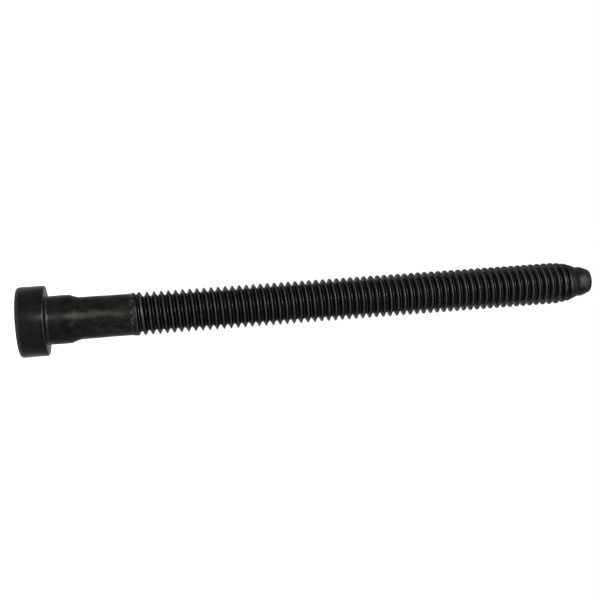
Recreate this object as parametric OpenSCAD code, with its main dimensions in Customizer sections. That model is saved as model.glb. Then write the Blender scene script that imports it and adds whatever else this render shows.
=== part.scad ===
// Cylinder head bolt with a round head, an internal twelve-point drive, a guide collar
// under the head, a long right-hand thread and a dog point at the tip.
// Sizes are in millimetres. The bolt stands on its head: z = 0 is the head's top face
// and +Z runs along the bolt to the tip.

/* [Head] */
// Diameter of the round head
head_d = 17.8; // [17:0.1:19]
// Height of the head, from its top face to the bearing face
head_h = 7; // [6.8:0.1:9]
// Radius of the rounded edge round the head's top face
head_round = 0.8; // [0.4:0.1:1.2]
// Chamfer between the side of the head and the bearing face
bearing_chamfer = 0.5; // [0.2:0.1:0.8]

/* [Drive] */
// Width of the twelve-point drive across two opposite points
drive_points_w = 11.4; // [10.6:0.1:12]
// Depth of the drive from the head's top face
drive_depth = 5.2; // [4.4:0.1:5.4]

/* [Collar and shank] */
// Diameter of the guide collar, which centres the bolt in the head's bore
collar_d = 12.3; // [12:0.1:13]
// Length of the guide collar, from the bearing face
collar_l = 5.8; // [5:0.1:6.5]
// Diameter of the plain shank between the collar and the thread
shank_d = 10.6; // [10.4:0.05:10.8]
// Distance from the bearing face to the end of the plain shank
shank_l = 20.7; // [20:0.1:26]

/* [Thread] */
// Outer diameter over the thread's crests, 7/16 inch nominal
thread_d = 10.95; // [10.85:0.01:11.1]
// Pitch of the thread, 14 turns to the inch
pitch = 1.814; // [1.8:0.001:1.82]
// Number of turns of thread
thread_turns = 63; // [40:1:63]

/* [Point] */
// Diameter of the dog point, which leads the bolt into the block
dog_d = 7.8; // [7:0.1:8]
// Length of the dog point, from the thread's end to the end face
dog_l = 4.9; // [4.6:0.1:6]
// Diameter at the front of the dog point, before its rounded edge
nose_d = 6; // [5.8:0.1:6.6]

/* [Hidden] */
// How finely round forms are drawn
$fn = 96;
// Radial depth of a 60 degree thread with a flat root a sixth of the pitch wide
thread_depth = 0.6134 * pitch;
root_r = thread_d / 2 - thread_depth;
crest_r = thread_d / 2;
// The four corners of one turn of thread along the axis, as shares of the pitch
corner_shares = [0, 1 / 6, 0.5208, 0.6458];
// Flat facets round one turn of thread
steps = 18;
sections = thread_turns * steps;
// Turns over which the crest rises at the shank end and fades at the tip
rise_turns = 0.7;
fade_turns = 0.9;
// Plain core of root diameter left below the first turn and above the last
core_gap = 0.1;

bearing_z = head_h;
collar_end_z = bearing_z + collar_l;
// The collar runs down to the shank in a shallow cone that eases out, then a slight taper
blend_l = 2.6;
blend_rest = 0.05;
blend_end_z = collar_end_z + blend_l;
shank_end_z = bearing_z + shank_l;
// A narrow flat ledge is left round the foot of the thread's core, and another round the dog point
ledge_w = 0.25;
thread_z = shank_end_z + (shank_d / 2 - root_r - ledge_w);
thread_end_z = thread_z + 2 * core_gap + (thread_turns + 1) * pitch;
core_tip_r = dog_d / 2 + ledge_w;
dog_z = thread_end_z + (root_r - core_tip_r);
tip_z = thread_end_z + dog_l;
nose_round = 0.6;
// Length of the straight part of the dog point, behind its tapered nose
dog_straight = 2.1;
// Radius of the fillet where the collar meets the bearing face
collar_relief = 0.6;
drive_side = drive_points_w / sqrt(2);
drive_valley_r = drive_side / 2 / cos(30);
drive_mouth_r = drive_points_w / 2 + 0.2;
drive_mouth_h = 0.7;
drill_r = drive_valley_r - 0.4;
drill_cone_h = 2.2;

/* [Node] */
// Which node to show

// Points of a quarter circle about (x, y), from angle a to angle b
function arc(x, y, r, a, b, n = 8) = [
    for (i = [0 : n]) [x + r * cos(a + (b - a) * i / n), y + r * sin(a + (b - a) * i / n)]
];

// Radius of the thread's crest at a place along the helix, counted in turns
function crest_at(t) =
    root_r + (crest_r - root_r) * min(1, t / rise_turns, (thread_turns - t) / fade_turns);

// Corner k of the thread's section number m, a point on the helix
function corner(m, k) = let (
    r = (k < 2) ? root_r : crest_at(m / steps),
    a = 360 * (m % steps) / steps
) [r * cos(a), r * sin(a), thread_z + core_gap + pitch * (m / steps + corner_shares[k])];

// The points of a plain ring of radius r at height z that closes an end of the thread
function ring(r, z) = [
    for (j = [0 : steps - 1]) [r * cos(360 * j / steps), r * sin(360 * j / steps), z]
];

module bolt() {
    color([0.09, 0.09, 0.085]) {
        head_and_shank();
        thread();
        point();
    }
}

// The head, collar and shank are one turned form with the drive sunk into the head.
module head_and_shank() {
    difference() {
        rotate_extrude() head_profile();
        drive();
    }
}

module head_profile() {
    head_r = head_d / 2;
    collar_r = collar_d / 2;
    shank_r = shank_d / 2;
    polygon(concat(
        [[0, 0]],
        arc(head_r - head_round, head_round, head_round, -90, 0),
        [
            [head_r, bearing_z - bearing_chamfer],
            [head_r - bearing_chamfer, bearing_z],
            [collar_r + collar_relief, bearing_z]
        ],
        arc(collar_r + collar_relief, bearing_z + collar_relief, collar_relief, 270, 180, 4),
        [[collar_r, collar_end_z]],
        [for (i = [1 : 8]) let (t = i / 8) [
            shank_r + blend_rest + (collar_r - shank_r - blend_rest) * pow(1 - t, 1.4),
            collar_end_z + blend_l * t
        ]],
        [
            [shank_r, blend_end_z + 4],
            [shank_r, shank_end_z],
            [root_r + ledge_w, thread_z],
            [0, thread_z]
        ]
    ));
}

// A recess of three squares turned by 30 degrees, with a chamfered mouth and a drilled cone below.
module drive() {
    translate([0, 0, -1])
        linear_extrude(drive_depth + 1)
            for (turn = [0, 30, 60]) rotate(turn) square(drive_side, center = true);
    translate([0, 0, -0.01])
        cylinder(h = drive_mouth_h, r1 = drive_mouth_r, r2 = drive_valley_r);
    translate([0, 0, drive_depth - 0.01])
        cylinder(h = drill_cone_h, r1 = drill_r, r2 = 0.4);
}

// A single-start right-hand thread, swept as one closed mesh along its own helix. Its crest rises
// out of the plain core at the shank and sinks back into it before the point.
module thread() {
    last = sections * 4 + 4;
    low = last + steps;
    high = low + steps;
    tip = high + steps;
    points = concat(
        [for (m = [0 : sections], k = [0 : 3]) corner(m, k)],
        [for (m = [sections + 1 : sections + steps]) corner(m, 0)],
        ring(root_r, thread_z),
        ring(root_r, thread_end_z),
        ring(core_tip_r, dog_z)
    );
    function root(m) = (m <= sections) ? 4 * m : last + m - sections - 1;
    faces = concat(
        [for (m = [0 : sections - 1], k = [0 : 2]) for (half = [0, 1])
            let (a = 4 * m + k, b = 4 * (m + 1) + k)
            half == 0 ? [a, a + 1, b + 1] : [a, b + 1, b]],
        [for (m = [0 : sections - 1]) for (half = [0, 1])
            let (a = 4 * m + 3, b = a + 4, c = root(m + steps), d = root(m + 1 + steps))
            half == 0 ? [a, c, d] : [a, d, b]],
        [for (j = [0 : steps - 2]) for (half = [0, 1])
            half == 0 ? [low + j, root(j), root(j + 1)] : [low + j, root(j + 1), low + j + 1]],
        [[low + steps - 1, root(steps - 1), root(steps)]],
        [for (k = [0 : 3]) [low + steps - 1, (k == 3) ? root(steps) : k + 1, k]],
        [[low + steps - 1, 0, low]],
        [for (j = [1 : steps - 1]) for (half = [0, 1])
            let (a = root(sections + j), b = root(sections + j + 1), c = high + (j + 1) % steps)
            half == 0 ? [a, high + j, c] : [a, c, b]],
        [for (k = [0 : 3]) let (a = 4 * sections + k)
            [a, (k == 3) ? root(sections + steps) : a + 1, high + 1]],
        [[root(sections + steps), high, high + 1], [4 * sections, high + 1, root(sections + 1)]],
        [for (j = [0 : steps - 1]) for (half = [0, 1])
            let (next = (j + 1) % steps)
            half == 0 ? [high + j, tip + j, tip + next] : [high + j, tip + next, high + next]],
        [[for (j = [0 : steps - 1]) low + j]],
        [[for (j = [steps - 1 : -1 : 0]) tip + j]]
    );
    polyhedron(points = points, faces = faces);
}

// The dog point: a short straight pilot, a tapered nose and a rounded edge at the end face.
module point() {
    rotate_extrude()
        polygon(concat(
            [[0, dog_z], [dog_d / 2, dog_z], [dog_d / 2, dog_z + dog_straight]],
            arc(nose_d / 2 - nose_round, tip_z - nose_round, nose_round, 0, 90),
            [[0, tip_z]]
        ));
}

bolt();
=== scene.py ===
import math

import bpy
from mathutils import Matrix, Vector


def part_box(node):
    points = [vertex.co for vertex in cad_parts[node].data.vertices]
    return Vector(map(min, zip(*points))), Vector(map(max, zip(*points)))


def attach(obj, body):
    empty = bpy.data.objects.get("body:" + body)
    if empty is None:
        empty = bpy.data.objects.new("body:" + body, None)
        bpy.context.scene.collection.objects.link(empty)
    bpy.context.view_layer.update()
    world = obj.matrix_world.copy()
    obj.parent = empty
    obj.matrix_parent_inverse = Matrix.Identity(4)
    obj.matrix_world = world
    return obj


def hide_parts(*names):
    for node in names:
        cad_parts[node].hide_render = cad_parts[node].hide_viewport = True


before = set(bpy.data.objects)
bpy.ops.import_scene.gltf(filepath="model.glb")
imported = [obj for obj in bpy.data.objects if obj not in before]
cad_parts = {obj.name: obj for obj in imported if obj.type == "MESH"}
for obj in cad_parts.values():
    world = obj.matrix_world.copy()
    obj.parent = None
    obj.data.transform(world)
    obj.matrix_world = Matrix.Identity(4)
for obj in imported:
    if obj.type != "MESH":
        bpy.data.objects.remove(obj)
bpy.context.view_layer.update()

# The bolt's blank: one piece of alloy steel, forged to a round head and turned. The profile runs
# from the head's flat top at z = 0, past the guide collar and the shank, to the dog point.

mm = 0.001
SIDES = 60
head_r = 8.9 * mm
head_h = 7.0 * mm
head_edge = 0.8 * mm
bearing_edge = 0.5 * mm
fillet = 0.6 * mm
collar_r = 6.15 * mm
collar_swell = 0.05 * mm
swell_z = 11.0 * mm
collar_end = 12.8 * mm
neck_l = 2.6 * mm
neck_rest = 0.07 * mm
neck_hollow = 1.4
taper_z = 20.0 * mm
taper_rest = 0.06 * mm
taper_end = 22.0 * mm
shank_r = 5.3 * mm
shank_end = 27.7 * mm
lip_l = 0.5 * mm
lip_rise = 0.05 * mm
shoulder_l = 0.9 * mm
thread_r = 5.475 * mm
fade_start = 139.8 * mm
point_start = 143.3 * mm
point_r = 4.95 * mm
foot_l = 0.6 * mm
foot_rise = 0.32 * mm
dog_r = 3.9 * mm
dog_start = 145.7 * mm
dog_end = 147.3 * mm
dog_turn = 0.2 * mm
dog_taper = 0.03 * mm
dog_drop = 0.13 * mm
nose_r = 3.05 * mm
nose_slope = 0.1 * mm
nose_edge = 0.5 * mm
tip_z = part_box("bolt")[1][2]


def hold(piece):
    """Make this the only selected object, ready for the next tool."""
    bpy.ops.object.select_all(action="DESELECT")
    bpy.context.view_layer.objects.active = piece
    piece.select_set(True)


def turned_up(name, stations):
    """Draw a ring up through each (height, radius) station, as a lathe's profile, and cap it."""
    bpy.ops.object.select_all(action="DESELECT")
    z, r = stations[0]
    bpy.ops.mesh.primitive_circle_add(vertices=SIDES, radius=r, location=(0, 0, z))
    piece = bpy.context.object
    piece.name = piece.data.name = name
    bpy.ops.object.transform_apply(location=True)
    bpy.ops.object.mode_set(mode="EDIT")
    bpy.ops.mesh.select_all(action="SELECT")
    bpy.ops.mesh.edge_face_add()
    bpy.ops.mesh.select_all(action="SELECT")
    for up, out in stations[1:]:
        bpy.ops.mesh.extrude_region_move(TRANSFORM_OT_translate={"value": (0, 0, up - z)})
        bpy.ops.transform.resize(value=(out / r, out / r, 1), center_override=(0, 0, up))
        z, r = up, out
    bpy.ops.mesh.select_all(action="SELECT")
    bpy.ops.mesh.normals_make_consistent(inside=False)
    bpy.ops.object.mode_set(mode="OBJECT")
    return piece


def round_rim(piece, z, r, width, segments):
    """Bevel the ring of edges that lies at height z and radius r."""
    hold(piece)
    bpy.ops.object.mode_set(mode="EDIT")
    bpy.ops.mesh.select_mode(type="EDGE")
    bpy.ops.mesh.select_all(action="DESELECT")
    bpy.ops.object.mode_set(mode="OBJECT")
    points = piece.data.vertices
    near = 0.001 * mm
    for edge in piece.data.edges:
        edge.select = all(
            abs(points[i].co.z - z) < near and abs(points[i].co.xy.length - r) < near
            for i in edge.vertices
        )
    bpy.ops.object.mode_set(mode="EDIT")
    bpy.ops.mesh.bevel(offset=width, segments=segments)
    bpy.ops.object.mode_set(mode="OBJECT")


neck_top_r = shank_r + neck_rest
neck = [
    (collar_end + neck_l * t, neck_top_r + (collar_r - neck_top_r) * (1 - t) ** neck_hollow)
    for t in (0.12, 0.26, 0.4, 0.55, 0.7, 0.85, 1.0)
]
tip_r = nose_r - nose_slope
bolt = turned_up(
    "bolt_steel",
    [
        (0, head_r),
        (head_h, head_r),
        (head_h, collar_r),
        (swell_z, collar_r + collar_swell),
        (collar_end, collar_r),
        *neck,
        (taper_z, shank_r + taper_rest),
        (taper_end, shank_r),
        (shank_end, shank_r),
        (shank_end + lip_l, shank_r + lip_rise),
        (shank_end + shoulder_l, thread_r),
        (fade_start, thread_r),
        (point_start, point_r),
        (dog_start - foot_l, dog_r + foot_rise),
        (dog_start, dog_r),
        (dog_end - dog_turn, dog_r - dog_taper),
        (dog_end + dog_turn, dog_r - dog_drop),
        (tip_z - nose_edge, nose_r + nose_slope),
        (tip_z, tip_r),
    ],
)
round_rim(bolt, 0, head_r, head_edge, segments=6)
round_rim(bolt, head_h, head_r, bearing_edge, segments=4)
round_rim(bolt, head_h, collar_r, fillet, segments=5)
round_rim(bolt, tip_z, tip_r, nose_edge, segments=5)

# The thread: 63 turns, right-hand, rolled into the blank. Here its groove is cut by one long
# worm, whose section is the thread's own: a rounded root, 60 degree flanks and eased crests.

turns = 64
pitch = 1.814 * mm
groove_start = 28.5 * mm
rise_turns = 1.2
flank_slope = math.tan(math.radians(30))
root_r = 4.362 * mm
root_w = pitch / 6
root_round = 0.14 * mm
flank_top = thread_r - 0.08 * mm
flank_w = root_w + 2 * (flank_top - root_r) * flank_slope
brow_r = thread_r - 0.022 * mm
brow_w = pitch - 0.21 * mm
mouth_r = thread_r + 0.006 * mm
mouth_w = pitch - 0.07 * mm
outside_r = thread_r + 0.25 * mm


def cut(piece, tool):
    """Take the tool's shape out of the piece."""
    hold(piece)
    bpy.ops.object.modifier_add(type="BOOLEAN")
    taking = piece.modifiers[-1]
    taking.operation = "DIFFERENCE"
    taking.solver = "MANIFOLD"
    taking.object = tool
    bpy.ops.object.modifier_apply(modifier=taking.name)
    bpy.data.objects.remove(tool, do_unlink=True)


widths = [
    (root_r, root_w),
    (flank_top, flank_w),
    (brow_r, brow_w),
    (mouth_r, mouth_w),
    (outside_r, mouth_w),
]
section = [(r, -w / 2) for r, w in widths] + [(r, w / 2) for r, w in reversed(widths)]
outline = bpy.data.meshes.new("groove")
outline.from_pydata(
    [(r, 0, groove_start + z) for r, z in section],
    [(i, (i + 1) % len(section)) for i in range(len(section))],
    [],
)
worm = bpy.data.objects.new("groove", outline)
bpy.context.collection.objects.link(worm)
hold(worm)
bpy.ops.object.mode_set(mode="EDIT")
bpy.ops.mesh.select_mode(type="VERT")
bpy.ops.mesh.select_all(action="DESELECT")
bpy.ops.object.mode_set(mode="OBJECT")
for point in outline.vertices:
    point.select = point.co.x < (root_r + flank_top) / 2
bpy.ops.object.mode_set(mode="EDIT")
bpy.ops.mesh.bevel(affect="VERTICES", offset=root_round, segments=3)
bpy.ops.object.mode_set(mode="OBJECT")
bpy.ops.object.modifier_add(type="SCREW")
winding = worm.modifiers[-1]
winding.axis = "Z"
winding.angle = math.tau
winding.screw_offset = pitch
winding.iterations = turns
winding.steps = winding.render_steps = SIDES
bpy.ops.object.modifier_apply(modifier=winding.name)
bpy.ops.object.mode_set(mode="EDIT")
bpy.ops.mesh.select_all(action="SELECT")
bpy.ops.mesh.remove_doubles(threshold=0.0001 * mm)
bpy.ops.mesh.select_all(action="SELECT")
bpy.ops.mesh.fill_holes(sides=0)
bpy.ops.mesh.select_all(action="SELECT")
bpy.ops.mesh.normals_make_consistent(inside=False)
bpy.ops.object.mode_set(mode="OBJECT")
for point in outline.vertices:
    wound = (point.co.z - groove_start) / pitch
    share = math.atan2(point.co.y, point.co.x) / math.tau
    wound = round(wound - share) + share
    lift = max(0, 1 - wound / rise_turns)
    reach_r = point.co.xy.length
    point.co.xy *= (reach_r + lift * (mouth_r - root_r)) / reach_r
cut(bolt, worm)

# The drive: a twelve-point recess broached into the head's top, made of three squares turned by
# 30 degrees, with a chamfered mouth and the cone of the drilled hole below it.

drive_points_w = 11.4 * mm
drive_depth = 5.2 * mm
drive_side = drive_points_w / math.sqrt(2)
valley_r = drive_side / 2 / math.cos(math.radians(30))
lead_in_r = drive_points_w / 2 + 0.2 * mm
lead_in_l = 0.69 * mm
proud = 0.01 * mm
drill_r = valley_r - 0.4 * mm
drill_point_r = 0.3 * mm
drill_start = drive_depth - 0.1 * mm
drill_end = drive_depth + 2.1 * mm
weld = 0.002 * mm
smooth_below = math.radians(27)


def cone_tool(name, low, high, low_r, high_r):
    """Make a cone from height low to height high, to be cut away from the head."""
    bpy.ops.object.select_all(action="DESELECT")
    bpy.ops.mesh.primitive_cone_add(
        vertices=SIDES,
        radius1=low_r,
        radius2=high_r,
        depth=high - low,
        location=(0, 0, (low + high) / 2),
    )
    tool = bpy.context.object
    tool.name = name
    bpy.ops.object.transform_apply()
    return tool


for degrees in (0, 30, 60):
    bpy.ops.object.select_all(action="DESELECT")
    bpy.ops.mesh.primitive_cube_add(size=1, rotation=(0, 0, math.radians(degrees)))
    broach = bpy.context.object
    broach.scale = (drive_side, drive_side, 2 * drive_depth)
    bpy.ops.object.transform_apply()
    cut(bolt, broach)
cut(bolt, cone_tool("lead_in", -proud, lead_in_l, lead_in_r, valley_r))
cut(bolt, cone_tool("drill", drill_start, drill_end, drill_r, drill_point_r))

hold(bolt)
bpy.ops.object.mode_set(mode="EDIT")
bpy.ops.mesh.select_all(action="SELECT")
bpy.ops.mesh.remove_doubles(threshold=weld)
bpy.ops.object.mode_set(mode="OBJECT")
bpy.ops.object.shade_smooth_by_angle(angle=smooth_below)

# The bolt's finish: black oxide on bare steel, wiped with oil. It is matt brown-black where the
# forging skin shows, finely turned elsewhere, and rubbed lighter on rims, crests, seat and tip;
# on the crests this lighter colour is also a painted highlight, and on the seat it is also
# painted light over the shade under the head.

oxide_black = (0.0064, 0.0065, 0.0056, 1)
oxide_brown = (0.0152, 0.0141, 0.0113, 1)
oxide_blue = (0.0075, 0.0080, 0.0090, 1)
rolled_black = (0.0150, 0.0150, 0.0146, 1)
# Rubbed steel for real wear on rims, scuffs and tip; on the crests and the seat it is also
# painted light.
rubbed_steel_and_painted_light = (0.038, 0.038, 0.037, 1)
edge_sheen = (0.66, 0.66, 0.67, 1)

steel = bpy.data.materials.new("black_oxide_steel")
steel.use_nodes = True
nodes, links = steel.node_tree.nodes, steel.node_tree.links
shader = nodes["Principled BSDF"]
shader.inputs["Metallic"].default_value = 1.0
shader.inputs["Specular Tint"].default_value = edge_sheen


def feed(socket, value):
    """Set a socket to a number or colour, or link it to another node's output."""
    if isinstance(value, bpy.types.NodeSocket):
        links.new(value, socket)
    else:
        socket.default_value = value


def sums(operation, *values):
    made = nodes.new("ShaderNodeMath")
    made.operation = operation
    for socket, value in zip(made.inputs, values):
        feed(socket, value)
    return made.outputs[0]


def vector(x, y, z):
    made = nodes.new("ShaderNodeCombineXYZ")
    for socket, value in zip(made.inputs, (x, y, z)):
        feed(socket, value)
    return made.outputs[0]


def ramp(value, low, high, start=0.0, end=1.0):
    """Go smoothly from start to end as the value goes from low to high."""
    made = nodes.new("ShaderNodeMapRange")
    made.interpolation_type = "SMOOTHSTEP"
    feed(made.inputs["Value"], value)
    made.inputs["From Min"].default_value = low
    made.inputs["From Max"].default_value = high
    made.inputs["To Min"].default_value = start
    made.inputs["To Max"].default_value = end
    return made.outputs[0]


def between(value, start, full, fading, gone):
    """Give 1 from full to fading, and ease to 0 at start and gone."""
    return sums("MULTIPLY", ramp(value, start, full), ramp(value, gone, fading))


def grain(place, scale, detail, roughness=0.5):
    made = nodes.new("ShaderNodeTexNoise")
    feed(made.inputs["Vector"], place)
    made.inputs["Scale"].default_value = scale
    made.inputs["Detail"].default_value = detail
    made.inputs["Roughness"].default_value = roughness
    return made.outputs["Fac"]


def blend(share, first, second):
    made = nodes.new("ShaderNodeMix")
    made.data_type = "RGBA"
    feed(made.inputs["Factor"], share)
    feed(made.inputs["A"], first)
    feed(made.inputs["B"], second)
    return made.outputs["Result"]


# Places on the bolt, in millimetres: up along its axis, and out from it.
spot = nodes.new("ShaderNodeTexCoord")
in_mm = nodes.new("ShaderNodeVectorMath")
in_mm.operation = "SCALE"
in_mm.inputs["Scale"].default_value = 1 / mm
links.new(spot.outputs["Object"], in_mm.inputs[0])
place = in_mm.outputs[0]
split = nodes.new("ShaderNodeSeparateXYZ")
links.new(place, split.inputs[0])
across, deep, up = split.outputs
out = sums("SQRT", sums("ADD", sums("MULTIPLY", across, across), sums("MULTIPLY", deep, deep)))
inward = sums("SUBTRACT", head_r / mm, out)
from_seat = sums("ABSOLUTE", sums("SUBTRACT", head_h / mm, up))
crest_r = thread_r / mm

# The oxide's own patterns: long blotches, fine specks and the rings that the lathe left.
patches = grain(vector(across, deep, sums("MULTIPLY", up, 0.55)), 0.62, 4.0, 0.6)
specks = grain(place, 2.6, 3.0, 0.6)
rings = grain(vector(out, 0.0, up), 5.5, 2.0, 0.6)
clouds = grain(place, 0.2, 3.0)
chips = grain(place, 0.9, 2.0)

# Where each kind of surface lies, and how much of it is rubbed; the crest and seat marks are
# also painted light.
skin = between(up, 10.5, 14.5, 27.0, 30.0)
rolled = between(up, 28.6, 29.4, 144.4, 145.2)
top_rim = ramp(sums("ADD", inward, up), 1.2, 0.4)
bearing_rim = ramp(sums("ADD", inward, from_seat), 0.5, 0.2)
# The seat, fillet and collar's foot under the head are made lighter: partly a rubbed washer
# face, partly painted light over the shade there.
seat_rub_and_painted_light = sums("MULTIPLY", between(up, 6.85, 6.98, 7.2, 7.9), 0.8)
scuffed = sums("MULTIPLY", between(up, 27.6, 28.0, 28.6, 29.0), ramp(chips, 0.46, 0.60))
# The thread's crest tops are made lighter: partly rubbed wear, partly a painted highlight that
# stands in for the light lines along the thread.
crest_top = ramp(out, crest_r - 0.30, crest_r - 0.06)
crest_wear_and_sheen = sums("MULTIPLY", crest_top, between(up, 28.9, 29.6, 143.0, 144.0))
turned = sums("MULTIPLY", ramp(up, 145.6, 146.2), ramp(rings, 0.44, 0.58, 0.15, 0.8))
# All rubbed marks together, the painted highlight on the crests and the painted light on the
# seat included.
worn_and_painted_light = top_rim
for mark in (bearing_rim, seat_rub_and_painted_light, scuffed, crest_wear_and_sheen, turned):
    worn_and_painted_light = sums("MAXIMUM", worn_and_painted_light, mark)
rub_and_painted_light = sums("MULTIPLY", worn_and_painted_light, ramp(specks, 0.35, 0.65, 0.25, 1.0))

stain = sums("MULTIPLY", ramp(patches, 0.42, 0.68), ramp(skin, 0.0, 1.0, 0.25, 1.0))
tint = blend(stain, oxide_black, oxide_brown)
tint = blend(ramp(clouds, 0.52, 0.68, 0.0, 0.7), tint, oxide_blue)
tint = blend(rolled, tint, rolled_black)
tint = blend(rub_and_painted_light, tint, rubbed_steel_and_painted_light)
links.new(tint, shader.inputs["Base Color"])

dull = ramp(patches, 0.3, 0.7, 0.30, 0.44)
dull = sums("ADD", dull, sums("MULTIPLY", sums("SUBTRACT", specks, 0.5), 0.16))
dull = sums("ADD", dull, sums("MULTIPLY", crest_wear_and_sheen, 0.15))
links.new(dull, shader.inputs["Roughness"])

forged = sums("ADD", sums("MULTIPLY", patches, 2.0), specks)
relief = sums("ADD", sums("MULTIPLY", rings, 0.5), sums("MULTIPLY", skin, forged))
bump = nodes.new("ShaderNodeBump")
bump.inputs["Strength"].default_value = 0.35
bump.inputs["Distance"].default_value = 0.03 * mm
links.new(relief, bump.inputs["Height"])
links.new(bump.outputs[0], shader.inputs["Normal"])

bolt.data.materials.clear()
bolt.data.materials.append(steel)

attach(bolt, "root")
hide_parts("bolt")

# The floor: plain and pale, level with the face that the bolt stands on. It shows white to the
# camera where nothing shades it, and keeps the bolt's soft shadow.

floor_size = 8
floor_paint = (0.8, 0.8, 0.8, 1)
floor_glow = 0.46

bpy.ops.object.select_all(action="DESELECT")
bpy.ops.mesh.primitive_plane_add(size=floor_size, location=(0, 0, 0))
floor = bpy.context.object
floor.name = "floor"
pale = bpy.data.materials.new("pale_floor")
pale.use_nodes = True
nodes, links = pale.node_tree.nodes, pale.node_tree.links
sheet = nodes["Principled BSDF"]
sheet.inputs["Base Color"].default_value = floor_paint
sheet.inputs["Roughness"].default_value = 0.9
sheet.inputs["Specular IOR Level"].default_value = 0.0
sheet.inputs["Emission Color"].default_value = (1, 1, 1, 1)


def background_share():
    """Give 1 for the rays that show the background: seen directly, in metal or through glass."""
    seen = nodes.new("ShaderNodeLightPath").outputs
    shiny = sums("MAXIMUM", seen["Is Camera Ray"], seen["Is Glossy Ray"])
    return sums("MAXIMUM", shiny, seen["Is Transmission Ray"])


glow = sums("MULTIPLY", background_share(), floor_glow)
links.new(glow, sheet.inputs["Emission Strength"])
floor.data.materials.append(pale)

# The light: an evenly white room, as in a product photograph, with a soft strip above the lens
# and another at the tip's side, which draw the light lines on the head and the thread.

room_light = 0.7
middle = (0, 0, 0.075)

world = bpy.data.worlds.new("white_room")
bpy.context.scene.world = world
world.use_nodes = True
nodes, links = world.node_tree.nodes, world.node_tree.links
room = nodes["Background"]
room.inputs["Color"].default_value = (1, 1, 1, 1)
links.new(sums("MAXIMUM", room_light, background_share()), room.inputs["Strength"])


def soft_lamp(name, place, width, length, power, long_way):
    """Hang an area lamp at place, facing the bolt's middle, its long side along long_way."""
    light = bpy.data.lights.new(name, "AREA")
    light.shape = "RECTANGLE"
    light.size = width
    light.size_y = length
    light.energy = power
    lamp = bpy.data.objects.new(name, light)
    bpy.context.collection.objects.link(lamp)
    back = (Vector(place) - Vector(middle)).normalized()
    side = Vector(long_way).cross(back).normalized()
    lamp.matrix_world = Matrix((side, back.cross(side), back)).transposed().to_4x4()
    lamp.location = place


soft_lamp("strip_over_lens", (-0.15, -0.6, 0.25), 0.08, 0.5, 5.4, long_way=(0, 0, 1))
soft_lamp("tip_side", (0, -0.40, 0.55), 0.10, 0.8, 3.5, long_way=(1, 0, 0))

# The camera looks along +Y, rolled so that the bolt lies across the picture with its tip at the
# right, tilted a little upwards as in the photograph.

reach = 0.270
foot_z = 0.03603
aim_z = 0.071247
drop = 0.0005
focal_px = 1049.2
picture_px = 600
tilt = math.radians(4.22)

look = Vector((0, reach, aim_z - foot_z)).normalized()
along = (Vector((0, 0, 1)) - look * look.z).normalized()
upward = Vector((-1, 0, 0))
right = along * math.cos(tilt) - upward * math.sin(tilt)
top = along * math.sin(tilt) + upward * math.cos(tilt)

lens = bpy.data.cameras.new("photo_camera")
lens.sensor_width = 36
lens.lens = focal_px / picture_px * lens.sensor_width
lens.clip_start = 0.01
camera = bpy.data.objects.new("photo_camera", lens)
bpy.context.collection.objects.link(camera)
camera.matrix_world = Matrix((right, top, -look)).transposed().to_4x4()
camera.location = (-drop, -reach, foot_z)
bpy.context.scene.camera = camera
bpy.context.scene.view_settings.view_transform = "Standard"
